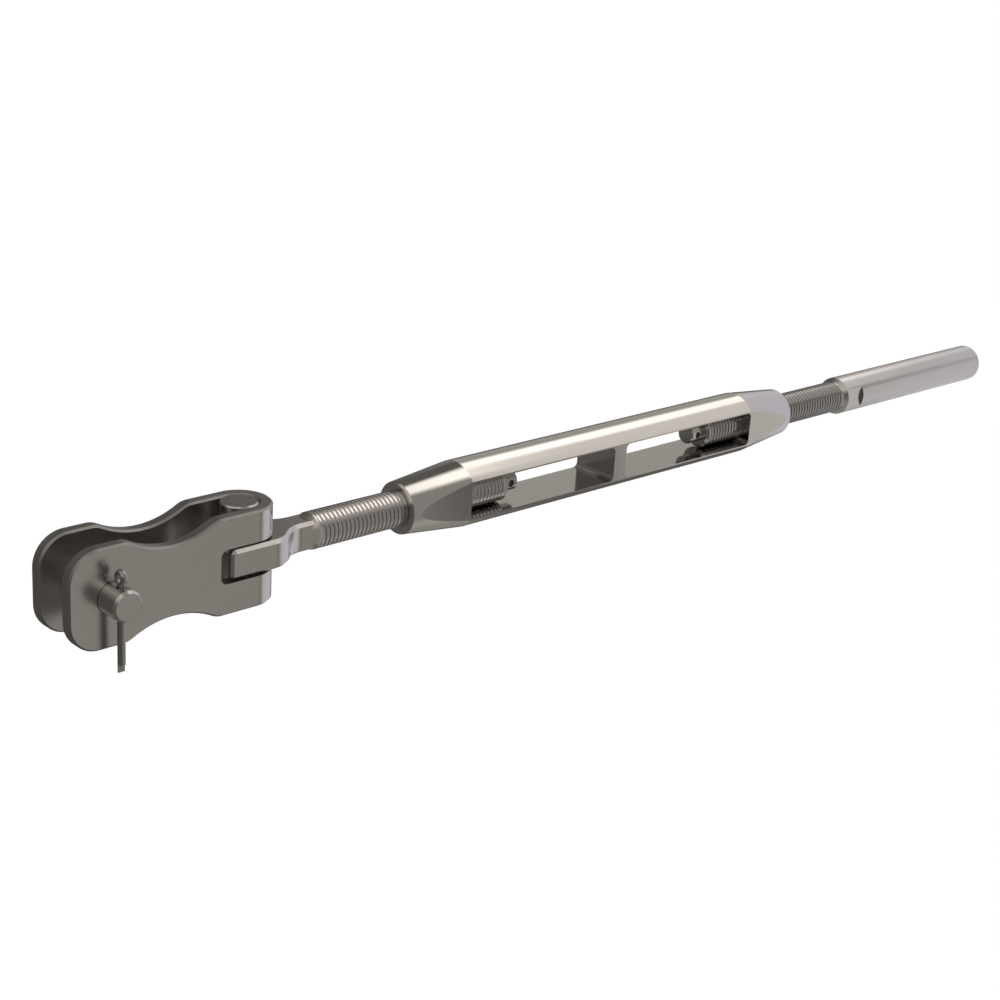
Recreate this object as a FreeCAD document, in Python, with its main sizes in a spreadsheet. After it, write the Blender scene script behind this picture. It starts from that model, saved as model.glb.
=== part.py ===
import FreeCAD, Part
import math
import os
from types import SimpleNamespace

import Sketcher

# Shroud adjuster: a rigging screw that sets the tension of a wire shroud on a sailing boat.
# A bent strap toggle hangs on the chainplate by a clevis pin. The eye screw swings in its bend,
# and an open barrel with two windows draws the eye screw and the swage stud together.
# The origin is the middle of the clevis pin, where its axis crosses the centre line of the fitting.
# X runs along the fitting to the wire end, Y is the clevis pin's axis, and Z is up. Millimetres.

SIZES = {
    # Clevis pin and the split pin through its end
    "pin_diameter": 6.35,
    "pin_clearance": 0.08,
    "pin_head_diameter": 10.0,
    "pin_head_height": 2.5,
    "pin_head_gap": 0.1,
    "pin_reach": 5.6,
    "pin_edge": 0.5,
    "split_setback": 2.6,
    "split_hole_clearance": 0.15,
    "split_diameter": 1.6,
    "split_leg_gap": 0.12,
    "split_eye_radius": 0.9,
    "split_shoulder_radius": 1.2,
    "split_eye_rise": 0.15,
    "split_long_leg": 14.0,
    "split_short_leg": 12.4,
    # Toggle strap, one strip bent round the eye pin
    "jaw_gap": 7.8,
    "strap_thickness": 2.7,
    "strap_height": 20.3,
    "toggle_length": 33.0,
    "lobe_reach": 9.1,
    "lobe_corner": 6.5,
    "crest_radius": 5.0,
    "front_crest": 2.3,
    "waist_length": 22.5,
    "waist_height": 14.6,
    "strap_edge": 0.4,
    "slot_corner": 1.5,
    "slot_clearance": 0.5,
    "swing_clearance": 0.5,
    # Eye screw and the eye pin that it turns with
    "eye_pin_clearance": 0.05,
    "eye_pin_edge": 0.3,
    "tongue_thickness": 6.2,
    "tongue_width": 14.0,
    "tongue_tail": 6.5,
    "tongue_corner": 1.2,
    "tongue_edge": 0.7,
    "tongue_crest": 4.1,
    "tongue_crest_radius": 6.5,
    "neck_width": 5.7,
    "neck_start": 13.6,
    "neck_length": 3.7,
    # Threaded studs, 5/16 in, right-handed on the eye screw and left-handed on the swage stud
    "stud_diameter": 7.94,
    "stud_lead_in": 2.5,
    "stud_root_diameter": 5.8,
    "stud_tip_edge": 0.6,
    "eye_thread_length": 52.5,
    "swage_thread_length": 53.2,
    "dog_diameter": 4.8,
    "dog_length": 4.0,
    "dog_edge": 0.3,
    "locking_hole": 1.6,
    # Barrel
    "eye_thread_showing": 23.1,
    "swage_thread_showing": 23.7,
    "thread_clearance": 0.03,
    "barrel_length": 124.9,
    "barrel_diameter": 14.8,
    "barrel_end_diameter": 11.5,
    "barrel_end_edge": 0.4,
    "barrel_flats": 11.9,
    "end_wall": 16.4,
    "bridge": 3.8,
    "window_height": 8.2,
    "window_corner": 1.2,
    "bore_overrun": 4.0,
    # Swage stud's shank, which is pressed on the wire
    "shank_diameter": 9.6,
    "shank_cone": 1.1,
    "spanner_flats": 8.0,
    "spanner_length": 6.3,
    "shank_length": 54.0,
    "shank_edge": 1.2,
    "wire_bore": 5.4,
    "wire_bore_depth": 55.0,
    "drill_point": 1.6,
}


# Numbers by which a sketch knows the points of a line or an arc, and its own origin
START_POINT, END_POINT, CENTRE_POINT = range(1, 4)
SKETCH_ORIGIN = (-1, START_POINT)


class Dim:
    """A length as its value now and as the sheet formula that keeps it up to date."""

    def __init__(self, value, formula):
        self.value = value
        self.formula = formula

    def __add__(self, other):
        other = as_dim(other)
        return Dim(self.value + other.value, f"({self.formula} + {other.formula})")

    def __sub__(self, other):
        other = as_dim(other)
        return Dim(self.value - other.value, f"({self.formula} - {other.formula})")

    def __mul__(self, other):
        other = as_dim(other)
        return Dim(self.value * other.value, f"({self.formula} * {other.formula})")

    def __truediv__(self, other):
        other = as_dim(other)
        return Dim(self.value / other.value, f"({self.formula} / {other.formula})")

    def __neg__(self):
        return Dim(-self.value, f"(0 - {self.formula})")


def as_dim(number):
    return number if isinstance(number, Dim) else Dim(float(number), str(number))


def root(dim):
    return Dim(math.sqrt(dim.value), f"sqrt({dim.formula})")


def far_leg(hypotenuse, leg):
    """The other short side of a right triangle."""
    return root(hypotenuse * hypotenuse - leg * leg)


def make_sheet(doc, sizes):
    """Write the sizes into a spreadsheet and return them as Dims that point at its cells."""
    sheet = doc.addObject("Spreadsheet::Sheet", "Sizes")
    for row, (name, value) in enumerate(sizes.items(), start=1):
        sheet.set(f"A{row}", name)
        sheet.set(f"B{row}", str(value))
        sheet.setAlias(f"B{row}", name)
    doc.recompute()
    return SimpleNamespace(**{name: Dim(value, f"Sizes.{name}") for name, value in sizes.items()})


def new_body(doc, label, x=None):
    """A body with its own local origin, which stands at x on the fitting's centre line."""
    body = doc.addObject("PartDesign::Body", label)
    body.Label = label
    if x is not None:
        body.Placement = FreeCAD.Placement(FreeCAD.Vector(x.value, 0, 0), FreeCAD.Rotation())
        body.setExpression("Placement.Base.x", x.formula)
    return body


def new_sketch(body, name, plane):
    """A sketch on one of the body's own origin planes: XY, XZ or YZ."""
    sketch = body.newObject("Sketcher::SketchObject", name)
    role = f"{plane}_Plane"
    support = [feature for feature in body.Origin.OriginFeatures if feature.Role == role][0]
    sketch.AttachmentSupport = [(support, "")]
    sketch.MapMode = "FlatFace"
    return sketch


def bind(sketch, kind, geometry, point, dim):
    """Hold one coordinate of a point, or one radius, to a sheet formula."""
    if kind == "Radius":
        index = sketch.addConstraint(Sketcher.Constraint(kind, geometry, dim.value))
    else:
        constraint = Sketcher.Constraint(kind, *SKETCH_ORIGIN, geometry, point, dim.value)
        index = sketch.addConstraint(constraint)
    sketch.setExpression(f"Constraints[{index}]", dim.formula)


def line_to(x, y):
    return SimpleNamespace(x=as_dim(x), y=as_dim(y), centre=None, ccw=None)


def arc_to(x, y, centre, ccw):
    centre = (as_dim(centre[0]), as_dim(centre[1]))
    return SimpleNamespace(x=as_dim(x), y=as_dim(y), centre=centre, ccw=ccw)


def draw(sketch, start, steps, closed=True):
    """Draw lines and arcs from point to point and hold every point to the sheet.

    The last step of a closed outline comes back to its first point.
    """
    here = line_to(*start)
    previous_end = None
    first_start = None
    for number, step in enumerate(steps):
        a = FreeCAD.Vector(here.x.value, here.y.value, 0)
        b = FreeCAD.Vector(step.x.value, step.y.value, 0)
        if step.centre is None:
            geometry = sketch.addGeometry(Part.LineSegment(a, b))
            begin, end = START_POINT, END_POINT
        else:
            geometry = sketch.addGeometry(arc_between(a, b, step))
            begin, end = (START_POINT, END_POINT) if step.ccw else (END_POINT, START_POINT)
            flat_chord = abs(b.x - a.x) > abs(b.y - a.y)
            if flat_chord:
                bind(sketch, "DistanceY", geometry, CENTRE_POINT, step.centre[1])
            else:
                bind(sketch, "DistanceX", geometry, CENTRE_POINT, step.centre[0])
        if previous_end is None:
            first_start = (geometry, begin)
            bind(sketch, "DistanceX", geometry, begin, here.x)
            bind(sketch, "DistanceY", geometry, begin, here.y)
        else:
            sketch.addConstraint(Sketcher.Constraint("Coincident", *previous_end, geometry, begin))
        if closed and number == len(steps) - 1:
            sketch.addConstraint(Sketcher.Constraint("Coincident", geometry, end, *first_start))
        else:
            bind(sketch, "DistanceX", geometry, end, step.x)
            bind(sketch, "DistanceY", geometry, end, step.y)
        previous_end = (geometry, end)
        here = step


def arc_between(a, b, step):
    centre = FreeCAD.Vector(step.centre[0].value, step.centre[1].value, 0)
    first, last = (a, b) if step.ccw else (b, a)
    from_angle = math.atan2(first.y - centre.y, first.x - centre.x)
    to_angle = math.atan2(last.y - centre.y, last.x - centre.x)
    if to_angle <= from_angle:
        to_angle += 2 * math.pi
    circle = Part.Circle(centre, FreeCAD.Vector(0, 0, 1), (first - centre).Length)
    return Part.ArcOfCircle(circle, from_angle, to_angle)


def draw_circle(sketch, x, y, radius):
    centre = FreeCAD.Vector(as_dim(x).value, as_dim(y).value, 0)
    circle = Part.Circle(centre, FreeCAD.Vector(0, 0, 1), radius.value)
    geometry = sketch.addGeometry(circle)
    bind(sketch, "Radius", geometry, None, radius)
    bind(sketch, "DistanceX", geometry, CENTRE_POINT, as_dim(x))
    bind(sketch, "DistanceY", geometry, CENTRE_POINT, as_dim(y))


def draw_box(sketch, left, right, low, high):
    corners = [(right, low), (right, high), (left, high), (left, low)]
    draw(sketch, (left, low), [line_to(x, y) for x, y in corners])


def draw_rounded_box(sketch, left, right, low, high, corner):
    """A box with four round corners, drawn anticlockwise from the left of its lower side."""
    steps = [
        line_to(right - corner, low),
        arc_to(right, low + corner, (right - corner, low + corner), ccw=True),
        line_to(right, high - corner),
        arc_to(right - corner, high, (right - corner, high - corner), ccw=True),
        line_to(left + corner, high),
        arc_to(left, high - corner, (left + corner, high - corner), ccw=True),
        line_to(left, low + corner),
        arc_to(left + corner, low, (left + corner, low + corner), ccw=True),
    ]
    draw(sketch, (left + corner, low), steps)


def pad(body, name, sketch, length):
    """Thicken a sketch evenly to both sides of its plane."""
    feature = body.newObject("PartDesign::Pad", name)
    feature.Profile = sketch
    feature.SideType = "Symmetric"
    feature.setExpression("Length", length.formula)
    body.Document.recompute()
    return feature


def pocket(body, name, sketch, length):
    """Cut a sketch evenly to both sides of its plane, and make sure that it cut something."""
    volume = body.Shape.Volume
    feature = body.newObject("PartDesign::Pocket", name)
    feature.Profile = sketch
    feature.SideType = "Symmetric"
    feature.setExpression("Length", length.formula)
    body.Document.recompute()
    if not body.Shape.Volume < volume:
        raise ValueError(f"{body.Label}: {name} cuts nothing")
    return feature


def revolve(body, name, sketch, axis):
    feature = body.newObject("PartDesign::Revolution", name)
    feature.Profile = sketch
    feature.ReferenceAxis = (sketch, [axis])
    body.Document.recompute()
    return feature


def is_straight(edge, axis):
    """Whether an edge is a straight line along X, Y or Z: axis 0, 1 or 2."""
    if not isinstance(edge.Curve, Part.Line):
        return False
    return abs(abs(edge.Curve.Direction[axis]) - 1) < 0.001


def chamfer(body, name, base, size, keep):
    """A chamfer on the feature's edges that the test keeps."""
    feature = body.newObject("PartDesign::Chamfer", name)
    edges = enumerate(base.Shape.Edges, start=1)
    feature.Base = (base, [f"Edge{number}" for number, edge in edges if keep(edge)])
    feature.setExpression("Size", size.formula)
    body.Document.recompute()
    return feature


class WaistCurve:
    """A side that falls from a round crest into a hollow and ends level, with smooth joins.

    The crest's circle and the hollow's circle touch, and the hollow is level at its lowest point.
    """

    def __init__(self, crest_x, crest_y, crest_radius, low_x, low_y):
        run = low_x - crest_x
        drop = crest_y - low_y
        centre_distance = (run * run + drop * drop) / (drop * 2)
        self.crest = (crest_x, crest_y)
        self.crest_centre = (crest_x, crest_y - crest_radius)
        self.low = (low_x, low_y)
        self.hollow_centre = (low_x, low_y + centre_distance - crest_radius)
        share = crest_radius / centre_distance
        join_x = crest_x + run * share
        join_y = crest_y - crest_radius + (centre_distance - drop) * share
        self.join = (join_x, join_y)


def mirrored(point):
    """The same point below the centre line."""
    return (point[0], -point[1])


os.makedirs("parts", exist_ok=True)
doc = FreeCAD.newDocument("ShroudAdjuster")
s = make_sheet(doc, SIZES)

# Cutting outlines pass the solid by this much
spare = s.strap_height / 4

# Sizes that more than one piece takes its fit from
jaw_half = s.jaw_gap / 2
strap_half_width = jaw_half + s.strap_thickness
strap_half_height = s.strap_height / 2
pin_radius = s.pin_diameter / 2
split_y = -(strap_half_width + s.pin_reach - s.split_setback)
eye_pin_radius = jaw_half - s.eye_pin_clearance
tongue_half_width = s.tongue_width / 2
stud_radius = s.stud_diameter / 2
dog_radius = s.dog_diameter / 2
stud_start = s.neck_start + s.neck_length
barrel_half_length = s.barrel_length / 2
barrel_x = s.toggle_length + stud_start + s.eye_thread_showing + barrel_half_length
swage_x = barrel_x + barrel_half_length + s.swage_thread_showing


def toggle_strap():
    """A strip bent to a U, cut to its side outline, with a slot and a hole through both cheeks."""
    body = new_body(doc, "toggle_strap")
    bend_x = s.toggle_length
    left = -(s.lobe_reach + spare)
    right = bend_x + strap_half_width + spare

    plan = new_sketch(body, "bent_strip_plan", "XY")
    steps = [
        line_to(bend_x, -strap_half_width),
        arc_to(bend_x, strap_half_width, (bend_x, 0), ccw=True),
        line_to(left, strap_half_width),
        line_to(left, jaw_half),
        line_to(bend_x, jaw_half),
        arc_to(bend_x, -jaw_half, (bend_x, 0), ccw=False),
        line_to(left, -jaw_half),
        line_to(left, -strap_half_width),
    ]
    draw(plan, (left, -strap_half_width), steps)
    pad(body, "bent_strip", plan, s.strap_height + spare * 2)

    # The side outline has two lobes with a waist between them, and is alike above and below
    top = strap_half_height
    corner = s.lobe_corner
    waist_half = s.waist_height / 2
    waist_x = s.front_crest + s.waist_length / 2
    rear_crest = s.front_crest + s.waist_length
    front = WaistCurve(s.front_crest, top, s.crest_radius, waist_x, waist_half)
    rear = WaistCurve(rear_crest, top, s.crest_radius, waist_x, waist_half)
    lobe_x = corner - s.lobe_reach
    side = new_sketch(body, "side_outline", "XZ")
    draw_box(side, left - spare, right + spare, -(top + spare * 2), top + spare * 2)
    steps = [
        line_to(-s.lobe_reach, top - corner),
        arc_to(lobe_x, top, (lobe_x, top - corner), ccw=False),
        line_to(*front.crest),
        arc_to(*front.join, front.crest_centre, ccw=False),
        arc_to(*rear.join, front.hollow_centre, ccw=True),
        arc_to(*rear.crest, rear.crest_centre, ccw=False),
        line_to(right, top),
        line_to(right, -top),
        line_to(*mirrored(rear.crest)),
        arc_to(*mirrored(rear.join), mirrored(rear.crest_centre), ccw=False),
        arc_to(*mirrored(front.join), mirrored(front.hollow_centre), ccw=True),
        arc_to(*mirrored(front.crest), mirrored(front.crest_centre), ccw=False),
        line_to(lobe_x, -top),
        arc_to(-s.lobe_reach, corner - top, (lobe_x, corner - top), ccw=False),
    ]
    draw(side, (-s.lobe_reach, corner - top), steps)
    outline = pocket(body, "trim_to_outline", side, (strap_half_width + spare) * 2)

    # Every edge between a cheek's or the bend's broad face and the outline is eased
    def along_outline(edge):
        if edge.Length < s.strap_thickness.value * 1.01 and is_straight(edge, 1):
            return False
        seam = is_straight(edge, 2) and abs(edge.CenterOfMass.x - bend_x.value) < 0.001
        return not seam

    chamfer(body, "eased_edges", outline, s.strap_edge, along_outline)

    # The tongue passes through the slot, which is long enough for its corners to swing past
    across = tongue_half_width - s.tongue_corner
    back = s.tongue_tail - s.tongue_corner
    tongue_swing = root(back * back + across * across) + s.tongue_corner
    slot_reach = far_leg(tongue_swing + s.swing_clearance, jaw_half)
    slot_half = s.tongue_thickness / 2 + s.slot_clearance
    slot = new_sketch(body, "slot_outline", "XZ")
    draw_rounded_box(slot, bend_x - slot_reach, right, -slot_half, slot_half, s.slot_corner)
    pocket(body, "slot", slot, (strap_half_width + spare) * 2)

    hole = new_sketch(body, "pin_hole_outline", "XZ")
    draw_circle(hole, 0, 0, pin_radius + s.pin_clearance)
    pocket(body, "pin_hole", hole, (strap_half_width + spare) * 2)
    return body


def eye_pin():
    """An upright round pin that fills the bend and ends flush with the strap's edges."""
    body = new_body(doc, "eye_pin", s.toggle_length)
    end = strap_half_height
    half = new_sketch(body, "half_outline", "XZ")
    steps = [
        line_to(eye_pin_radius - s.eye_pin_edge, -end),
        line_to(eye_pin_radius, s.eye_pin_edge - end),
        line_to(eye_pin_radius, end - s.eye_pin_edge),
        line_to(eye_pin_radius - s.eye_pin_edge, end),
        line_to(0, end),
        line_to(0, -end),
    ]
    draw(half, (0, -end), steps)
    revolve(body, "pin", half, "V_Axis")
    return body


def eye_screw():
    """A forged tongue with a pressed-in eye, a square neck and a threaded stud."""
    body = new_body(doc, "eye_screw", s.toggle_length)
    half_width = tongue_half_width
    tail = -s.tongue_tail
    corner = s.tongue_corner
    neck_half = s.neck_width / 2
    side = WaistCurve(s.tongue_crest, half_width, s.tongue_crest_radius, s.neck_start, neck_half)

    plan = new_sketch(body, "tongue_plan", "XY")
    steps = [
        line_to(tail, half_width - corner),
        arc_to(tail + corner, half_width, (tail + corner, half_width - corner), ccw=False),
        line_to(*side.crest),
        arc_to(*side.join, side.crest_centre, ccw=False),
        arc_to(*side.low, side.hollow_centre, ccw=True),
        line_to(stud_start, neck_half),
        line_to(stud_start, -neck_half),
        line_to(*mirrored(side.low)),
        arc_to(*mirrored(side.join), mirrored(side.hollow_centre), ccw=True),
        arc_to(*mirrored(side.crest), mirrored(side.crest_centre), ccw=False),
        line_to(tail + corner, -half_width),
        arc_to(tail, corner - half_width, (tail + corner, corner - half_width), ccw=False),
    ]
    draw(plan, (tail, corner - half_width), steps)
    tongue = pad(body, "tongue", plan, s.tongue_thickness)

    def long_edge(edge):
        level = abs(abs(edge.CenterOfMass.z) - s.tongue_thickness.value / 2) < 0.001
        at_stud = abs(edge.CenterOfMass.x - s.toggle_length.value - stud_start.value) < 0.001
        return level and not at_stud

    chamfer(body, "eased_edges", tongue, s.tongue_edge, long_edge)

    stud = new_sketch(body, "stud_half_outline", "XZ")
    lead = stud_start - s.stud_lead_in
    end = stud_start + s.eye_thread_length
    tip = end + s.dog_length
    steps = [
        line_to(lead, s.stud_root_diameter / 2),
        line_to(stud_start, stud_radius),
        line_to(end - s.stud_tip_edge, stud_radius),
        line_to(end, stud_radius - s.stud_tip_edge),
        line_to(end, dog_radius),
        line_to(tip - s.dog_edge, dog_radius),
        line_to(tip, dog_radius - s.dog_edge),
        line_to(tip, 0),
        line_to(lead, 0),
    ]
    draw(stud, (lead, 0), steps)
    revolve(body, "stud", stud, "H_Axis")

    eye = new_sketch(body, "eye_outline", "XY")
    draw_circle(eye, 0, 0, eye_pin_radius)
    pocket(body, "eye", eye, s.tongue_thickness + spare * 2)
    locking_hole(body, end + s.dog_length / 2)
    return body


def locking_hole(body, x):
    """The cross hole for a locking wire through the plain end of a stud."""
    hole = new_sketch(body, "locking_hole_outline", "XZ")
    draw_circle(hole, x, 0, s.locking_hole / 2)
    pocket(body, "locking_hole_cut", hole, s.dog_diameter + spare * 2)


def barrel():
    """A turned body with tapered ends, two flats, two windows and a threaded hole at each end."""
    body = new_body(doc, "barrel", barrel_x)
    radius = s.barrel_diameter / 2
    end_radius = s.barrel_end_diameter / 2
    bore_radius = stud_radius + s.thread_clearance
    wall_x = barrel_half_length - s.end_wall
    bore_end = wall_x - s.bore_overrun
    edge = s.barrel_end_edge

    half = new_sketch(body, "half_outline", "XZ")
    steps = [
        line_to(-barrel_half_length, end_radius - edge),
        line_to(edge - barrel_half_length, end_radius),
        line_to(-wall_x, radius),
        line_to(wall_x, radius),
        line_to(barrel_half_length - edge, end_radius),
        line_to(barrel_half_length, end_radius - edge),
        line_to(barrel_half_length, bore_radius),
        line_to(bore_end, bore_radius),
        line_to(bore_end, 0),
        line_to(-bore_end, 0),
        line_to(-bore_end, bore_radius),
        line_to(-barrel_half_length, bore_radius),
    ]
    draw(half, (-barrel_half_length, bore_radius), steps)
    revolve(body, "turned_body", half, "H_Axis")

    flats = new_sketch(body, "flats_outline", "XY")
    past_end = barrel_half_length + spare
    flat_y = s.barrel_flats / 2
    draw_box(flats, -past_end, past_end, flat_y, radius + spare)
    draw_box(flats, -past_end, past_end, -(radius + spare), -flat_y)
    pocket(body, "flats", flats, s.barrel_diameter + spare * 2)

    windows = new_sketch(body, "windows_outline", "XZ")
    bridge_half = s.bridge / 2
    high = s.window_height / 2
    draw_rounded_box(windows, -wall_x, -bridge_half, -high, high, s.window_corner)
    draw_rounded_box(windows, bridge_half, wall_x, -high, high, s.window_corner)
    pocket(body, "windows", windows, s.barrel_diameter + spare * 2)
    return body


def swage_stud():
    """A threaded stud and a plain shank in one, with spanner flats and a bore for the wire."""
    body = new_body(doc, "swage_stud", swage_x)
    shank_radius = s.shank_diameter / 2
    bore_radius = s.wire_bore / 2
    flats_end = s.shank_cone + s.spanner_length
    mouth = flats_end + s.shank_length
    bore_end = mouth - s.wire_bore_depth
    end = -s.swage_thread_length
    tip = end - s.dog_length
    edge = s.shank_edge

    half = new_sketch(body, "half_outline", "XZ")
    steps = [
        line_to(tip, dog_radius - s.dog_edge),
        line_to(tip + s.dog_edge, dog_radius),
        line_to(end, dog_radius),
        line_to(end, stud_radius - s.stud_tip_edge),
        line_to(end + s.stud_tip_edge, stud_radius),
        line_to(0, stud_radius),
        line_to(s.shank_cone, shank_radius),
        line_to(mouth - edge, shank_radius),
        arc_to(mouth, shank_radius - edge, (mouth - edge, shank_radius - edge), ccw=False),
        line_to(mouth, bore_radius),
        line_to(bore_end, bore_radius),
        line_to(bore_end - s.drill_point, 0),
        line_to(tip, 0),
    ]
    draw(half, (tip, 0), steps)
    revolve(body, "turned_body", half, "H_Axis")

    flats = new_sketch(body, "spanner_flats_outline", "XY")
    flat_y = s.spanner_flats / 2
    draw_box(flats, s.shank_cone, flats_end, flat_y, shank_radius + spare)
    draw_box(flats, s.shank_cone, flats_end, -(shank_radius + spare), -flat_y)
    pocket(body, "spanner_flats_cut", flats, s.shank_diameter + spare * 2)
    locking_hole(body, end - s.dog_length / 2)
    return body


def clevis_pin():
    """A headed pin across the jaw, with a hole for the split pin near its plain end."""
    body = new_body(doc, "clevis_pin")
    head_y = strap_half_width + s.pin_head_gap
    head_radius = s.pin_head_diameter / 2
    head_top = head_y + s.pin_head_height
    end_y = -(strap_half_width + s.pin_reach)
    edge = s.pin_edge

    half = new_sketch(body, "half_outline", "XY")
    steps = [
        line_to(pin_radius - edge, end_y),
        line_to(pin_radius, end_y + edge),
        line_to(pin_radius, head_y),
        line_to(head_radius, head_y),
        line_to(head_radius, head_top - edge),
        line_to(head_radius - edge, head_top),
        line_to(0, head_top),
        line_to(0, end_y),
    ]
    draw(half, (0, end_y), steps)
    revolve(body, "pin", half, "V_Axis")

    hole = new_sketch(body, "split_hole_outline", "XY")
    draw_circle(hole, 0, split_y, s.split_diameter / 2 + s.split_hole_clearance)
    pocket(body, "split_hole", hole, s.pin_diameter + spare * 2)
    return body


def split_pin():
    """Half-round wire doubled back on itself, with an eye over the clevis pin and two legs."""
    body = new_body(doc, "split_pin")
    wire_radius = (s.split_diameter - s.split_leg_gap) / 2
    flat = s.split_leg_gap / 2
    eye_radius = s.split_eye_radius
    shoulder = s.split_shoulder_radius
    neck_z = pin_radius + s.split_eye_rise
    eye_z = neck_z + far_leg(eye_radius + shoulder, flat + shoulder)
    share = eye_radius / (eye_radius + shoulder)
    join_across = (flat + shoulder) * share
    join_z = eye_z - (eye_z - neck_z) * share
    far_flat = split_y + flat
    near_flat = split_y - flat

    path = new_sketch(body, "wire_path", "YZ")
    steps = [
        line_to(far_flat, neck_z),
        arc_to(split_y + join_across, join_z, (far_flat + shoulder, neck_z), ccw=False),
        arc_to(split_y - join_across, join_z, (split_y, eye_z), ccw=True),
        arc_to(near_flat, neck_z, (near_flat - shoulder, neck_z), ccw=False),
        line_to(near_flat, -s.split_short_leg),
    ]
    draw(path, (far_flat, -s.split_long_leg), steps, closed=False)

    section = new_sketch(body, "wire_section", "XY")
    section.AttachmentOffset = FreeCAD.Placement(
        FreeCAD.Vector(0, 0, -s.split_long_leg.value), FreeCAD.Rotation()
    )
    section.setExpression("AttachmentOffset.Base.z", (-s.split_long_leg).formula)
    steps = [
        arc_to(-wire_radius, far_flat, (0, far_flat), ccw=True),
        line_to(wire_radius, far_flat),
    ]
    draw(section, (wire_radius, far_flat), steps)
    wire = body.newObject("PartDesign::AdditivePipe", "wire")
    wire.Profile = section
    wire.Spine = path
    doc.recompute()
    return body


pieces = [
    toggle_strap(),
    eye_pin(),
    eye_screw(),
    barrel(),
    swage_stud(),
    clevis_pin(),
    split_pin(),
]
doc.recompute()

for feature in doc.Objects:
    if "Invalid" in feature.State or "Error" in feature.State:
        raise ValueError(f"{feature.Label} could not be worked out: {feature.State}")
for piece in pieces:
    if piece.Shape.isNull() or not piece.Shape.isValid() or len(piece.Shape.Solids) != 1:
        raise ValueError(f"{piece.Label} isn't one sound solid")
for piece in pieces:
    piece.Shape.exportStep(f"parts/{piece.Label}.step")
    box = piece.Shape.BoundBox
    print(f"{piece.Label}: {piece.Shape.Volume:.1f} mm3, x {box.XMin:.2f} to {box.XMax:.2f}")
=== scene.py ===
import math

import bmesh
import bpy
from mathutils import Matrix, Vector


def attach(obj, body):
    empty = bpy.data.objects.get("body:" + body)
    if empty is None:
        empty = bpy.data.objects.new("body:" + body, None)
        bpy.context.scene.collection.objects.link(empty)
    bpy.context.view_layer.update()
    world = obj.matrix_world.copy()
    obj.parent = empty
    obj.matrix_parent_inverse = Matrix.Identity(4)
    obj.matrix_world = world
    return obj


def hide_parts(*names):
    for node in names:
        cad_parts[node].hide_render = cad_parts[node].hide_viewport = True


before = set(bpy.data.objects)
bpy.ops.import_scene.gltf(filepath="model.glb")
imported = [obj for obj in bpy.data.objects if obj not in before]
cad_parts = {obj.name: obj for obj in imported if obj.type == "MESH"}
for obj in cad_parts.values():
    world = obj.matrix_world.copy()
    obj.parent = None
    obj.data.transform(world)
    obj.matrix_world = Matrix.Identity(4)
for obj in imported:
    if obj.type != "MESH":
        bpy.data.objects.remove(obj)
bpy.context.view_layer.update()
scene = bpy.context.scene
scene.view_settings.view_transform = "Standard"


# Toggle strap
# One strip of stainless steel, bent to a U and cut to its waisted outline, with its edges eased.
# It is polished all over, and a fine grain still runs along the strip.
def named_group(name, inputs, outputs):
    """An empty shader group with the named inputs and outputs, and its two end nodes."""
    group = bpy.data.node_groups.new(name, "ShaderNodeTree")
    for socket_name, kind, value in inputs:
        socket = group.interface.new_socket(socket_name, in_out="INPUT", socket_type=kind)
        if value is not None:
            socket.default_value = value
    for socket_name, kind in outputs:
        group.interface.new_socket(socket_name, in_out="OUTPUT", socket_type=kind)
    return group, group.nodes.new("NodeGroupInput"), group.nodes.new("NodeGroupOutput")


def math_node(tree, operation, first, second, clamp=False):
    """A Math node on two values, each a socket or a number, and its result."""
    node = tree.nodes.new("ShaderNodeMath")
    node.operation = operation
    node.use_clamp = clamp
    for socket, value in zip(node.inputs, (first, second)):
        if isinstance(value, (int, float)):
            socket.default_value = value
        else:
            tree.links.new(value, socket)
    return node.outputs[0]


# Tool marks: fine streaks along the grain, soft handling marks, and a slight change of tint
tool_marks, marks_in, marks_out = named_group(
    "tool_marks",
    [
        ("Grain Vector", "NodeSocketVector", None),
        ("Place", "NodeSocketVector", None),
        ("Tint", "NodeSocketColor", (0.6, 0.6, 0.6, 1)),
        ("Tint Change", "NodeSocketFloat", 0.06),
        ("Roughness", "NodeSocketFloat", 0.2),
        ("Roughness Change", "NodeSocketFloat", 0.05),
        ("Handling", "NodeSocketFloat", 0.03),
    ],
    [("Tint", "NodeSocketColor"), ("Roughness", "NodeSocketFloat"), ("Height", "NodeSocketFloat")],
)
streaks = tool_marks.nodes.new("ShaderNodeTexNoise")
streaks.inputs["Scale"].default_value = 1.0
streaks.inputs["Detail"].default_value = 4.0
streaks.inputs["Roughness"].default_value = 0.6
tool_marks.links.new(marks_in.outputs["Grain Vector"], streaks.inputs["Vector"])
smudges = tool_marks.nodes.new("ShaderNodeTexNoise")
smudges.inputs["Scale"].default_value = 110.0
smudges.inputs["Detail"].default_value = 3.0
tool_marks.links.new(marks_in.outputs["Place"], smudges.inputs["Vector"])
streak = math_node(tool_marks, "SUBTRACT", streaks.outputs["Fac"], 0.5)
smudge = math_node(tool_marks, "SUBTRACT", smudges.outputs["Fac"], 0.5)
rough_streak = math_node(tool_marks, "MULTIPLY", streak, marks_in.outputs["Roughness Change"])
rough_smudge = math_node(tool_marks, "MULTIPLY", smudge, marks_in.outputs["Handling"])
rough = math_node(tool_marks, "ADD", rough_streak, rough_smudge)
rough = math_node(tool_marks, "ADD", rough, marks_in.outputs["Roughness"], clamp=True)
tint_streak = math_node(tool_marks, "MULTIPLY", streak, marks_in.outputs["Tint Change"])
brightness = math_node(tool_marks, "ADD", tint_streak, 1.0)
tinted = tool_marks.nodes.new("ShaderNodeVectorMath")
tinted.operation = "SCALE"
tool_marks.links.new(marks_in.outputs["Tint"], tinted.inputs[0])
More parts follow.
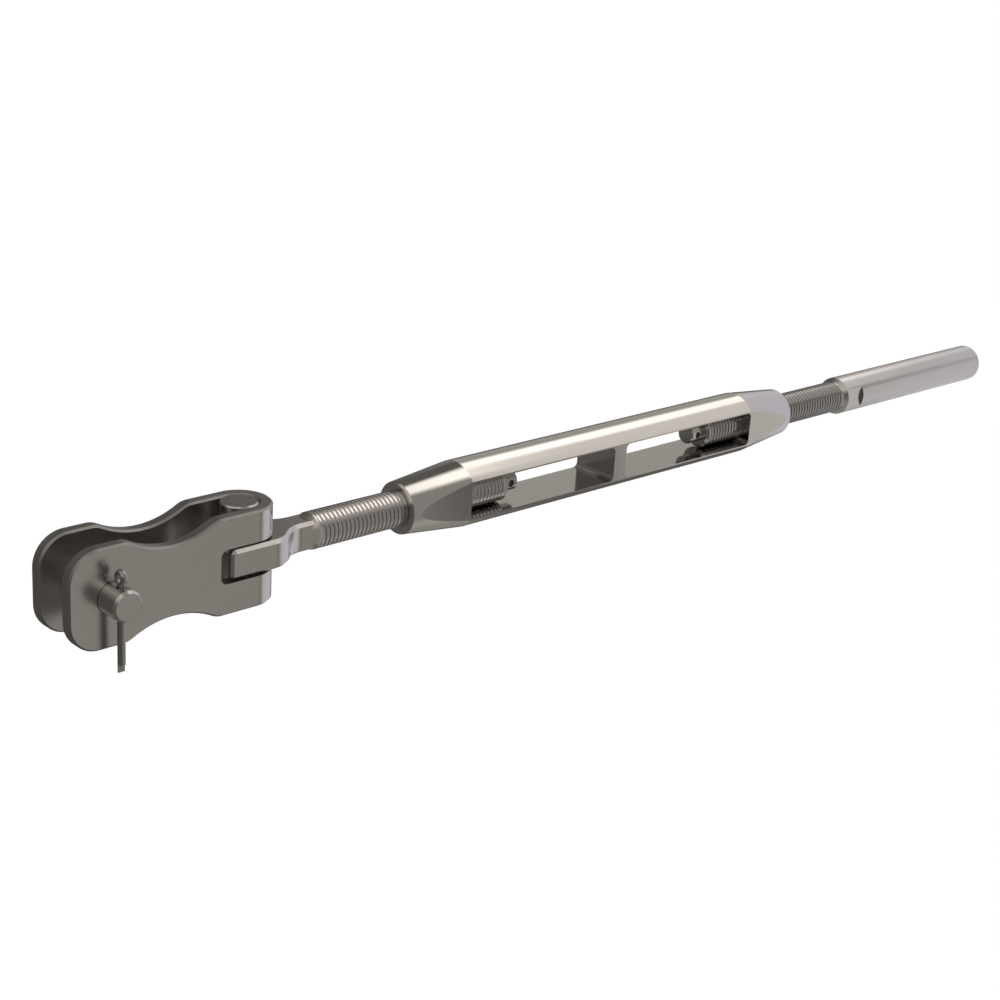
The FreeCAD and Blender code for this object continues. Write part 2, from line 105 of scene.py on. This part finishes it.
tool_marks.links.new(brightness, tinted.inputs["Scale"])
tool_marks.links.new(tinted.outputs["Vector"], marks_out.inputs["Tint"])
tool_marks.links.new(rough, marks_out.inputs["Roughness"])
tool_marks.links.new(streaks.outputs["Fac"], marks_out.inputs["Height"])


def steel(name, tint, roughness, grain, depth=0.000002):
    """Stainless steel. Grain is the number of streaks to the metre along X, Y and Z."""
    material = bpy.data.materials.new(name)
    material.use_nodes = True
    tree = material.node_tree
    shader = tree.nodes["Principled BSDF"]
    shader.inputs["Metallic"].default_value = 1.0
    shader.inputs["IOR"].default_value = 1.5
    place = tree.nodes.new("ShaderNodeTexCoord")
    mapping = tree.nodes.new("ShaderNodeMapping")
    mapping.inputs["Scale"].default_value = grain
    marks = tree.nodes.new("ShaderNodeGroup")
    marks.node_tree = tool_marks
    marks.inputs["Tint"].default_value = (*tint, 1)
    marks.inputs["Tint Change"].default_value = 0.08
    marks.inputs["Roughness"].default_value = roughness
    marks.inputs["Roughness Change"].default_value = 0.10
    marks.inputs["Handling"].default_value = 0.08
    bump = tree.nodes.new("ShaderNodeBump")
    bump.inputs["Strength"].default_value = 1.0
    bump.inputs["Distance"].default_value = depth
    tree.links.new(place.outputs["Object"], mapping.inputs["Vector"])
    tree.links.new(mapping.outputs["Vector"], marks.inputs["Grain Vector"])
    tree.links.new(place.outputs["Object"], marks.inputs["Place"])
    tree.links.new(marks.outputs["Tint"], shader.inputs["Base Color"])
    tree.links.new(marks.outputs["Roughness"], shader.inputs["Roughness"])
    tree.links.new(marks.outputs["Height"], bump.inputs["Height"])
    tree.links.new(bump.outputs["Normal"], shader.inputs["Normal"])
    return material


def finish_node(name, material):
    """Give a solid from the frame its finish."""
    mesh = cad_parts[name].data
    mesh.materials.clear()
    mesh.materials.append(material)


strap_steel = steel("strap_steel", tint=(0.62, 0.61, 0.60), roughness=0.24, grain=(300, 6000, 6000))
bend_x = 0.033
cut_roughness = 0.20
# How much the colour of the cut faces is darkened, as painted shade
cut_painted_shade = 0.38
rolled_facing = 0.95
cut_facing = 0.80
strap_tree = strap_steel.node_tree
kinds = {node.bl_idname: node for node in strap_tree.nodes}
strap_place = kinds["ShaderNodeTexCoord"]
strap_marks = kinds["ShaderNodeGroup"]
strap_shader = kinds["ShaderNodeBsdfPrincipled"]
at = strap_tree.nodes.new("ShaderNodeSeparateXYZ")
strap_tree.links.new(strap_place.outputs["Object"], at.inputs[0])
from_bend = math_node(strap_tree, "SUBTRACT", at.outputs["X"], bend_x)
past_bend = math_node(strap_tree, "MAXIMUM", from_bend, 0.0)
through = strap_tree.nodes.new("ShaderNodeCombineXYZ")
strap_tree.links.new(past_bend, through.inputs["X"])
strap_tree.links.new(at.outputs["Y"], through.inputs["Y"])

# The grain runs along the cheeks and on round the bend
thickness_place = strap_tree.nodes.new("ShaderNodeVectorMath")
thickness_place.operation = "LENGTH"
strap_tree.links.new(through.outputs[0], thickness_place.inputs[0])
from_middle = math_node(strap_tree, "ABSOLUTE", at.outputs["Y"], 0)
bend_angle = math_node(strap_tree, "ARCTAN2", past_bend, from_middle)
arc = math_node(strap_tree, "MULTIPLY", bend_angle, thickness_place.outputs["Value"])
along = math_node(strap_tree, "ADD", math_node(strap_tree, "MINIMUM", at.outputs["X"], bend_x), arc)
strip_place = strap_tree.nodes.new("ShaderNodeCombineXYZ")
strap_tree.links.new(along, strip_place.inputs["X"])
strap_tree.links.new(thickness_place.outputs["Value"], strip_place.inputs["Y"])
strap_tree.links.new(at.outputs["Z"], strip_place.inputs["Z"])
strap_tree.links.new(strip_place.outputs[0], kinds["ShaderNodeMapping"].inputs["Vector"])

# Edges, holes and slot are cut and only eased, so they are duller than the strip's rolled faces; their
# colour is also darkened there as painted shade
straight_through = strap_tree.nodes.new("ShaderNodeVectorMath")
straight_through.operation = "NORMALIZE"
strap_tree.links.new(through.outputs[0], straight_through.inputs[0])
facing = strap_tree.nodes.new("ShaderNodeVectorMath")
facing.operation = "DOT_PRODUCT"
strap_tree.links.new(straight_through.outputs[0], facing.inputs[0])
strap_tree.links.new(strap_place.outputs["Normal"], facing.inputs[1])
cut = strap_tree.nodes.new("ShaderNodeMapRange")
cut.interpolation_type = "SMOOTHSTEP"
cut.inputs["From Min"].default_value = rolled_facing
cut.inputs["From Max"].default_value = cut_facing
strap_tree.links.new(math_node(strap_tree, "ABSOLUTE", facing.outputs["Value"], 0), cut.inputs["Value"])
duller = math_node(strap_tree, "MULTIPLY", cut.outputs["Result"], cut_roughness)
cut_rough = math_node(strap_tree, "ADD", strap_marks.outputs["Roughness"], duller)
strap_tree.links.new(cut_rough, strap_shader.inputs["Roughness"])
# Painted shade: the colour of the cut faces is darkened here
painted_cut_shade = math_node(strap_tree, "MULTIPLY", cut.outputs["Result"], cut_painted_shade)
kept_light = math_node(strap_tree, "SUBTRACT", 1.0, painted_cut_shade)
cut_shaded_tint = strap_tree.nodes.new("ShaderNodeVectorMath")
cut_shaded_tint.operation = "SCALE"
strap_tree.links.new(strap_marks.outputs["Tint"], cut_shaded_tint.inputs[0])
strap_tree.links.new(kept_light, cut_shaded_tint.inputs["Scale"])
strap_tree.links.new(cut_shaded_tint.outputs["Vector"], strap_shader.inputs["Base Color"])
finish_node("toggle_strap", strap_steel)


# Eye pin
# A turned pin in the strap's bend, pressed in the eye of the screw. Its ends are faced flush,
# so fine rings from the lathe show on them.
turned_steel = steel("turned_steel", tint=(0.62, 0.61, 0.60), roughness=0.22, grain=(5000, 5000, 900))
finish_node("eye_pin", turned_steel)


# Eye screw
# A forged eye with a right-hand rolled thread of 24 to the inch. The forging is tumbled smooth,
# and the thread's crests are bright from the rolls.
thread_pitch = 0.0254 / 24
stud_radius = 0.00397
thread_root_radius = 0.00375
thread_run_out = 0.0015
crest_half_width = 0.30
half_pitch = 0.50
screw_thread_start = 0.0503
screw_thread_end = 0.1022
rows_per_pitch = 16
columns_around = 60


def thread_tree():
    """Geometry nodes for a rolled thread: a grid wrapped round X, with the helix in its radius."""
    tree = bpy.data.node_groups.new("rolled_thread", "GeometryNodeTree")
    for name in ("Start", "End", "Pitch", "Major Radius", "Root Radius", "Run-out", "Hand"):
        tree.interface.new_socket(name, in_out="INPUT", socket_type="NodeSocketFloat")
    for name in ("Rows", "Columns"):
        tree.interface.new_socket(name, in_out="INPUT", socket_type="NodeSocketInt")
    tree.interface.new_socket("Material", in_out="INPUT", socket_type="NodeSocketMaterial")
    tree.interface.new_socket("Geometry", in_out="OUTPUT", socket_type="NodeSocketGeometry")
    given = tree.nodes.new("NodeGroupInput").outputs
    result = tree.nodes.new("NodeGroupOutput")

    def calculate(operation, first, second=0.0):
        return math_node(tree, operation, first, second)

    grid = tree.nodes.new("GeometryNodeMeshGrid")
    grid.inputs["Size X"].default_value = 1.0
    grid.inputs["Size Y"].default_value = 1.0
    tree.links.new(given["Rows"], grid.inputs["Vertices X"])
    tree.links.new(given["Columns"], grid.inputs["Vertices Y"])
    place = tree.nodes.new("GeometryNodeInputPosition")
    parts = tree.nodes.new("ShaderNodeSeparateXYZ")
    tree.links.new(place.outputs[0], parts.inputs[0])
    along = calculate("ADD", parts.outputs["X"], 0.5)
    turn = calculate("ADD", parts.outputs["Y"], 0.5)
    length = calculate("SUBTRACT", given["End"], given["Start"])
    from_start = calculate("MULTIPLY", along, length)
    x = calculate("ADD", from_start, given["Start"])

    # Share of a pitch past the crest, then how deep the groove is there: flat crest, round root
    turns = calculate("DIVIDE", from_start, given["Pitch"])
    twist = calculate("MULTIPLY", turn, given["Hand"])
    phase = calculate("FRACT", calculate("SUBTRACT", turns, twist))
    ridge = calculate("ABSOLUTE", calculate("SUBTRACT", phase, half_pitch))
    flank = tree.nodes.new("ShaderNodeMapRange")
    flank.interpolation_type = "SMOOTHSTEP"
    flank.inputs["From Min"].default_value = crest_half_width
    flank.inputs["From Max"].default_value = half_pitch
    tree.links.new(ridge, flank.inputs["Value"])

    # The groove fades out towards both ends of the thread
    to_end = calculate("SUBTRACT", length, from_start)
    nearest = calculate("MINIMUM", from_start, to_end)
    fade = tree.nodes.new("ShaderNodeMapRange")
    fade.interpolation_type = "SMOOTHSTEP"
    tree.links.new(nearest, fade.inputs["Value"])
    tree.links.new(given["Run-out"], fade.inputs["From Max"])
    depth = calculate("SUBTRACT", given["Major Radius"], given["Root Radius"])
    share = calculate("MULTIPLY", flank.outputs["Result"], fade.outputs["Result"])
    cut = calculate("MULTIPLY", share, depth)
    radius = calculate("SUBTRACT", given["Major Radius"], cut)

    angle = calculate("MULTIPLY", turn, 2 * math.pi)
    wrapped = tree.nodes.new("ShaderNodeCombineXYZ")
    tree.links.new(x, wrapped.inputs["X"])
    tree.links.new(calculate("MULTIPLY", radius, calculate("COSINE", angle)), wrapped.inputs["Y"])
    tree.links.new(calculate("MULTIPLY", radius, calculate("SINE", angle)), wrapped.inputs["Z"])
    moved = tree.nodes.new("GeometryNodeSetPosition")
    tree.links.new(grid.outputs["Mesh"], moved.inputs["Geometry"])
    tree.links.new(wrapped.outputs[0], moved.inputs["Position"])
    welded = tree.nodes.new("GeometryNodeMergeByDistance")
    welded.inputs["Distance"].default_value = 0.000001
    tree.links.new(moved.outputs[0], welded.inputs["Geometry"])
    real = tree.nodes.new("GeometryNodeRealizeInstances")
    tree.links.new(welded.outputs[0], real.inputs[0])
    coated = tree.nodes.new("GeometryNodeSetMaterial")
    tree.links.new(real.outputs[0], coated.inputs["Geometry"])
    tree.links.new(given["Material"], coated.inputs["Material"])
    tree.links.new(coated.outputs[0], result.inputs[0])
    return tree


rolled_thread = thread_tree()


def thread_mesh(name, start, end, hand, material):
    """The mesh of one thread, made by the tree."""
    carrier = bpy.data.objects.new(name, bpy.data.meshes.new(name))
    scene.collection.objects.link(carrier)
    modifier = carrier.modifiers.new("thread", "NODES")
    modifier.node_group = rolled_thread
    sizes = {
        "Start": start,
        "End": end,
        "Pitch": thread_pitch,
        "Major Radius": stud_radius,
        "Root Radius": thread_root_radius,
        "Run-out": thread_run_out,
        "Hand": float(hand),
        "Rows": int((end - start) / thread_pitch * rows_per_pitch) + 1,
        "Columns": columns_around + 1,
        "Material": material,
    }
    for item in rolled_thread.interface.items_tree:
        if item.in_out == "INPUT":
            modifier[item.identifier] = sizes[item.name]
    depsgraph = bpy.context.evaluated_depsgraph_get()
    mesh = bpy.data.meshes.new_from_object(carrier.evaluated_get(depsgraph))
    bpy.data.objects.remove(carrier)
    return mesh


def threaded_copy(piece_name, node_name, start, end, hand, material):
    """A copy of a solid whose plain stud, from start to end along X, is cut to a thread.

    The solid's own corner normals are kept, so that its flats stay flat beside its round faces.
    """
    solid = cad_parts[node_name]
    form = bmesh.new()
    form.from_mesh(solid.data)
    solid_normal = form.loops.layers.float_vector.new("solid_normal")
    corners = iter(solid.data.corner_normals)
    for face in form.faces:
        for loop in face.loops:
            loop[solid_normal] = next(corners).vector
    form.transform(solid.matrix_world)
    weld = 0.0000005
    slack = 0.00002
    bmesh.ops.remove_doubles(form, verts=form.verts, dist=weld)

    def on_stud(vertex):
        place = vertex.co
        round_enough = abs(math.hypot(place.y, place.z) - stud_radius) < slack
        return round_enough and start - slack < place.x < end + slack

    plain = [face for face in form.faces if all(on_stud(vertex) for vertex in face.verts)]
    bmesh.ops.delete(form, geom=plain, context="FACES")
    form.from_mesh(thread_mesh(piece_name, start, end, hand, material))
    form.normal_update()

    def faces_axis(face):
        middle = face.calc_center_median()
        from_axis = Vector((0, middle.y, middle.z))
        on_thread = start - slack < middle.x < end + slack and from_axis.length < stud_radius + slack
        return on_thread and face.normal.dot(from_axis) < -0.2 * stud_radius

    # The thread's grid comes inside out, so its faces are turned to point away from the axis
    bmesh.ops.reverse_faces(form, faces=[face for face in form.faces if faces_axis(face)])
    open_edges = [edge for edge in form.edges if edge.is_boundary]
    for ring_x in (start, end):
        ring = [e for e in open_edges if all(abs(v.co.x - ring_x) < slack for v in e.verts)]
        joint = bmesh.ops.bridge_loops(form, edges=ring)["faces"]
        turned = [face for face in joint if sum(not edge.is_contiguous for edge in face.edges) > 1]
        if len(turned) > len(joint) / 2:
            bmesh.ops.reverse_faces(form, faces=joint)
    bmesh.ops.remove_doubles(form, verts=form.verts, dist=weld)
    loose = [edge for edge in form.edges if not edge.link_faces]
    bmesh.ops.delete(form, geom=loose, context="EDGES")
    for face in form.faces:
        face.smooth = True
    mesh = bpy.data.meshes.new(piece_name)
    form.to_mesh(mesh)
    form.free()
    mesh.materials.clear()
    mesh.materials.append(material)
    mesh.attributes.remove(mesh.attributes["custom_normal"])
    mesh.set_sharp_from_angle(angle=math.radians(60))
    kept = [Vector(item.vector) for item in mesh.attributes["solid_normal"].data]
    made = [Vector(item.vector) for item in mesh.corner_normals]
    normals = [old if old.length > 0.5 else new for old, new in zip(kept, made)]
    mesh.attributes.remove(mesh.attributes["solid_normal"])
    mesh.normals_split_custom_set(normals)
    piece = bpy.data.objects.new(piece_name, mesh)
    scene.collection.objects.link(piece)
    return piece


def rolled_with_painted_shade(material, start, end, thread_shade_tint):
    """From start to end along X the steel is burnished smoother, and its colour is darkened as painted
    shade: all over by the given tint, and more in the grooves.
    """
    edge_blend = 0.0004
    # How dark the thread's root is painted, as shade
    groove_shade_tint = 0.55
    burnish = 0.05
    tree = material.node_tree
    nodes = {node.bl_idname: node for node in tree.nodes}
    shader = nodes["ShaderNodeBsdfPrincipled"]
    marks = nodes["ShaderNodeGroup"]
    at = tree.nodes.new("ShaderNodeSeparateXYZ")
    tree.links.new(nodes["ShaderNodeTexCoord"].outputs["Object"], at.inputs[0])
    from_middle = math_node(tree, "SUBTRACT", at.outputs["X"], (start + end) / 2)
    rolled = tree.nodes.new("ShaderNodeMapRange")
    rolled.inputs["From Min"].default_value = (end - start) / 2
    rolled.inputs["From Max"].default_value = (end - start) / 2 - edge_blend
    tree.links.new(math_node(tree, "ABSOLUTE", from_middle, 0), rolled.inputs["Value"])
    across = tree.nodes.new("ShaderNodeVectorMath")
    across.operation = "MULTIPLY"
    across.inputs[1].default_value = (0, 1, 1)
    tree.links.new(nodes["ShaderNodeTexCoord"].outputs["Object"], across.inputs[0])
    radius = tree.nodes.new("ShaderNodeVectorMath")
    radius.operation = "LENGTH"
    tree.links.new(across.outputs[0], radius.inputs[0])
    # Painted shade: the colour darkens towards the thread's root
    crest = tree.nodes.new("ShaderNodeMapRange")
    crest.inputs["From Min"].default_value = thread_root_radius
    crest.inputs["From Max"].default_value = stud_radius
    crest.inputs["To Min"].default_value = groove_shade_tint * thread_shade_tint
    crest.inputs["To Max"].default_value = thread_shade_tint
    tree.links.new(radius.outputs["Value"], crest.inputs["Value"])
    lost = math_node(tree, "SUBTRACT", 1.0, crest.outputs["Result"])
    kept = math_node(tree, "SUBTRACT", 1.0, math_node(tree, "MULTIPLY", lost, rolled.outputs["Result"]))
    tint = tree.nodes.new("ShaderNodeVectorMath")
    tint.operation = "SCALE"
    tree.links.new(marks.outputs["Tint"], tint.inputs[0])
    tree.links.new(kept, tint.inputs["Scale"])
    tree.links.new(tint.outputs["Vector"], shader.inputs["Base Color"])
    smoother = math_node(tree, "MULTIPLY", rolled.outputs["Result"], burnish)
    rough = math_node(tree, "SUBTRACT", marks.outputs["Roughness"], smoother)
    tree.links.new(rough, shader.inputs["Roughness"])


forged_steel = steel(
    "forged_steel", tint=(0.62, 0.61, 0.60), roughness=0.24, grain=(900, 2200, 2200), depth=0.000004
)
# The thread's grooves are darkened as painted shade
rolled_with_painted_shade(forged_steel, screw_thread_start, screw_thread_end, thread_shade_tint=1.0)
eye_screw = threaded_copy(
    "eye_screw_threaded", "eye_screw", screw_thread_start, screw_thread_end, hand=1, material=forged_steel
)
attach(eye_screw, "eye_screw")
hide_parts("eye_screw")


# Barrel
# Turned from bright bar and polished, with two milled flats and two windows milled through.
# Fine rings from the lathe run round it.
barrel_steel = steel("barrel_steel", tint=(0.62, 0.615, 0.61), roughness=0.12, grain=(7000, 250, 250))
finish_node("barrel", barrel_steel)


# Swage stud
# A stud with a left-hand rolled thread, in one piece with a plain drawn shank that is pressed on
# the wire. The shank is bright, with fine lines along it.
swage_thread_start = 0.1694
swage_thread_end = 0.2220
drawn_steel = steel("drawn_steel", tint=(0.62, 0.615, 0.61), roughness=0.19, grain=(120, 5000, 5000))
# The thread is darkened all over, and more in its grooves, as painted shade
rolled_with_painted_shade(drawn_steel, swage_thread_start, swage_thread_end, thread_shade_tint=0.55)
swage_stud = threaded_copy(
    "swage_stud_threaded", "swage_stud", swage_thread_start, swage_thread_end, hand=-1, material=drawn_steel
)
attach(swage_stud, "swage_stud")
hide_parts("swage_stud")


# Clevis pin
# A turned pin with a head on the far side, and a cross hole for the split pin at its near end.
pin_steel = steel("pin_steel", tint=(0.62, 0.61, 0.60), roughness=0.22, grain=(3500, 6000, 3500))
finish_node("clevis_pin", pin_steel)


# Split pin
# Half-round wire folded back on itself, with its eye up and its legs left straight.
# Its colour is darker than the other steel's, as painted shade
wire_steel = steel("wire_steel", tint=(0.42, 0.41, 0.39), roughness=0.30, grain=(6000, 6000, 300))
finish_node("split_pin", wire_steel)


# Studio
# A pale floor well below, a soft box above right, and a dim tent with a few soft panels, which
# only the steel reflects: a wall of light on the right, strips overhead, and a fill in front.
floor_z = -0.5
floor_reach = 6.0
floor_glow = 0.66
world_level = 0.4
background_level = 0.6


def sees_background(tree):
    """One for rays from the camera, off gloss or through glass, and nought for the rest."""
    path = tree.nodes.new("ShaderNodeLightPath")
    seen = math_node(tree, "MAXIMUM", path.outputs["Is Camera Ray"], path.outputs["Is Glossy Ray"])
    return math_node(tree, "MAXIMUM", seen, path.outputs["Is Transmission Ray"])


floor_white = bpy.data.materials.new("floor_white")
floor_white.use_nodes = True
floor_shader = floor_white.node_tree.nodes["Principled BSDF"]
floor_shader.inputs["Base Color"].default_value = (0.9, 0.9, 0.9, 1)
floor_shader.inputs["Roughness"].default_value = 0.9
floor_shader.inputs["Specular IOR Level"].default_value = 0.0
floor_shader.inputs["Emission Color"].default_value = (1, 1, 1, 1)
glow_seen = math_node(floor_white.node_tree, "MULTIPLY", sees_background(floor_white.node_tree), floor_glow)
floor_white.node_tree.links.new(glow_seen, floor_shader.inputs["Emission Strength"])
floor_sides = [(-1, -1), (1, -1), (1, 1), (-1, 1)]
floor_corners = [(x * floor_reach, y * floor_reach, floor_z) for x, y in floor_sides]
floor_mesh = bpy.data.meshes.new("floor")
floor_mesh.from_pydata(floor_corners, [], [(0, 1, 2, 3)])
floor_mesh.materials.append(floor_white)
floor = bpy.data.objects.new("floor", floor_mesh)
scene.collection.objects.link(floor)

world = bpy.data.worlds.new("studio")
world.use_nodes = True
backdrop = world.node_tree.nodes["Background"]
backdrop.inputs["Color"].default_value = (1, 1, 1, 1)
seen = sees_background(world.node_tree)
level = math_node(world.node_tree, "MULTIPLY", seen, background_level)
level = math_node(world.node_tree, "ADD", level, world_level)
world.node_tree.links.new(level, backdrop.inputs["Strength"])
scene.world = world

# The tent is dim, with soft panels of light on it. A panel has a middle, a half width and a soft edge
# by lean, which is how far a direction leans towards the wire from -1 to 1, and the same by its angle
# round the fitting in degrees: 0 straight down, 90 in front, 180 straight up, 270 behind
tent_centre = (0.12, 0.0, 0.0)
tent_radius = 4.0
tent_level = 0.13
warm_light = (1.0, 0.93, 0.85)
cool_light = (1.0, 0.96, 1.06)
panels = {
    # lean, half, soft, angle, half, soft, strength, light
    "front_fill": (0.15, 0.43, 0.05, 90, 50, 50, 0.20, warm_light),
    "left_overhead": (-0.60, 0.35, 0.25, 170, 35, 25, 0.45, warm_light),
    "overhead_strip": (0.53, 0.07, 0.06, 175, 10, 20, 1.60, warm_light),
    "right_overhead": (0.71, 0.07, 0.04, 180, 35, 15, 0.75, warm_light),
    "rear_strip": (0.70, 0.07, 0.05, 205, 8, 15, 0.60, warm_light),
    "rear_fill": (0.70, 0.10, 0.05, 235, 20, 20, 0.30, warm_light),
    "from_below": (0.40, 0.10, 0.20, 0, 20, 30, 0.20, warm_light),
    "right_front": (0.76, 0.02, 0.07, 70, 30, 40, 0.50, warm_light),
    "right_wall": (0.97, 0.12, 0.08, 100, 130, 50, 0.55, cool_light),
}
tent_cloth = bpy.data.materials.new("tent_cloth")
tent_cloth.use_nodes = True
tent_cloth.cycles.emission_sampling = "NONE"
tent_tree = tent_cloth.node_tree
tent_tree.nodes.remove(tent_tree.nodes["Principled BSDF"])
coords = tent_tree.nodes.new("ShaderNodeTexCoord")
away = tent_tree.nodes.new("ShaderNodeVectorMath")
away.operation = "SUBTRACT"
away.inputs[1].default_value = tent_centre
heading = tent_tree.nodes.new("ShaderNodeVectorMath")
heading.operation = "NORMALIZE"
lean = tent_tree.nodes.new("ShaderNodeSeparateXYZ")
tent_tree.links.new(coords.outputs["Object"], away.inputs[0])
tent_tree.links.new(away.outputs[0], heading.inputs[0])
tent_tree.links.new(heading.outputs[0], lean.inputs[0])
round_angle = math_node(tent_tree, "ARCTAN2", lean.outputs["Y"], lean.outputs["Z"])
degrees = math_node(tent_tree, "MULTIPLY", round_angle, 180 / math.pi)
angle_deg = math_node(tent_tree, "ADD", degrees, 180)


def panel_share(distance, half, soft):
    """One within the panel's half width, and down to nought across its soft edge."""
    edge = tent_tree.nodes.new("ShaderNodeMapRange")
    edge.interpolation_type = "SMOOTHSTEP"
    edge.inputs["From Min"].default_value = half + soft
    edge.inputs["From Max"].default_value = half
    tent_tree.links.new(math_node(tent_tree, "ABSOLUTE", distance, 0), edge.inputs["Value"])
    return edge.outputs["Result"]


def add_light(so_far, share, strength, light):
    """The tent's colour so far, and a share of a coloured light added to it."""
    lit = tent_tree.nodes.new("ShaderNodeVectorMath")
    lit.operation = "MULTIPLY_ADD"
    lit.inputs[1].default_value = [strength * part for part in light]
    tent_tree.links.new(share, lit.inputs[0])
    if isinstance(so_far, tuple):
        lit.inputs[2].default_value = so_far
    else:
        tent_tree.links.new(so_far, lit.inputs[2])
    return lit.outputs["Vector"]


tent_shade = tuple(tent_level * part for part in warm_light)
for at_lean, half_lean, soft_lean, at_angle, half_angle, soft_angle, strength, light in panels.values():
    off_lean = math_node(tent_tree, "SUBTRACT", lean.outputs["X"], at_lean)
    off_angle = tent_tree.nodes.new("ShaderNodeMath")
    off_angle.operation = "WRAP"
    tent_tree.links.new(math_node(tent_tree, "SUBTRACT", angle_deg, at_angle), off_angle.inputs[0])
    off_angle.inputs[1].default_value = 180
    off_angle.inputs[2].default_value = -180
    lean_share = panel_share(off_lean, half_lean, soft_lean)
    angle_share = panel_share(off_angle.outputs[0], half_angle, soft_angle)
    share = math_node(tent_tree, "MULTIPLY", lean_share, angle_share)
    tent_shade = add_light(tent_shade, share, strength, light)

glow = tent_tree.nodes.new("ShaderNodeEmission")
tent_tree.links.new(tent_shade, glow.inputs["Color"])
tent_tree.links.new(glow.outputs[0], tent_tree.nodes["Material Output"].inputs["Surface"])

tent_above_floor = 0.001
tent_form = bmesh.new()
bmesh.ops.create_icosphere(tent_form, subdivisions=5, radius=tent_radius)
bmesh.ops.translate(tent_form, verts=tent_form.verts, vec=tent_centre)
for vertex in tent_form.verts:
    vertex.co.z = max(vertex.co.z, floor_z + tent_above_floor)
tent_mesh = bpy.data.meshes.new("tent")
tent_form.to_mesh(tent_mesh)
tent_form.free()
tent_mesh.materials.append(tent_cloth)
tent = bpy.data.objects.new("tent", tent_mesh)
scene.collection.objects.link(tent)

# Only reflections see the tent
tent.visible_camera = False
tent.visible_diffuse = False
tent.visible_shadow = False
tent.visible_transmission = False


def soft_box(name, azimuth, elevation, distance, width, height, watts, colour):
    """An area lamp that looks at the middle of the fitting. Azimuth runs from +X towards +Y."""
    lamp_data = bpy.data.lights.new(name, "AREA")
    lamp_data.shape = "RECTANGLE"
    lamp_data.size = width
    lamp_data.size_y = height
    lamp_data.energy = watts
    lamp_data.color = colour
    lamp = bpy.data.objects.new(name, lamp_data)
    level_reach = math.cos(math.radians(elevation)) * distance
    offset = Vector((
        math.cos(math.radians(azimuth)) * level_reach,
        math.sin(math.radians(azimuth)) * level_reach,
        math.sin(math.radians(elevation)) * distance,
    ))
    turn = offset.to_track_quat("Z", "Y").to_matrix().to_4x4()
    lamp.matrix_world = Matrix.Translation(Vector(tent_centre) + offset) @ turn
    scene.collection.objects.link(lamp)


soft_box(
    "key_box", azimuth=20, elevation=43, distance=1.5, width=0.55, height=0.22, watts=0.12,
    colour=(1, 0.96, 0.91)
)

# The photograph's view, found from the fitting's own straight edges: the toggle is nearest, and
# the wire end runs away to the right
camera_place = Vector((-0.17520, -0.28787, 0.14393))
camera_heading = math.radians(44.116)
camera_dip = math.radians(20.307)
camera_roll = math.radians(3.748)
camera_data = bpy.data.cameras.new("camera")
camera_data.sensor_width = 36
camera_data.lens = 69.20
camera = bpy.data.objects.new("camera", camera_data)
facing = Matrix.Rotation(-camera_heading, 4, "Z") @ Matrix.Rotation(math.pi / 2 - camera_dip, 4, "X")
camera.matrix_world = Matrix.Translation(camera_place) @ facing @ Matrix.Rotation(camera_roll, 4, "Z")
scene.collection.objects.link(camera)
scene.camera = camera
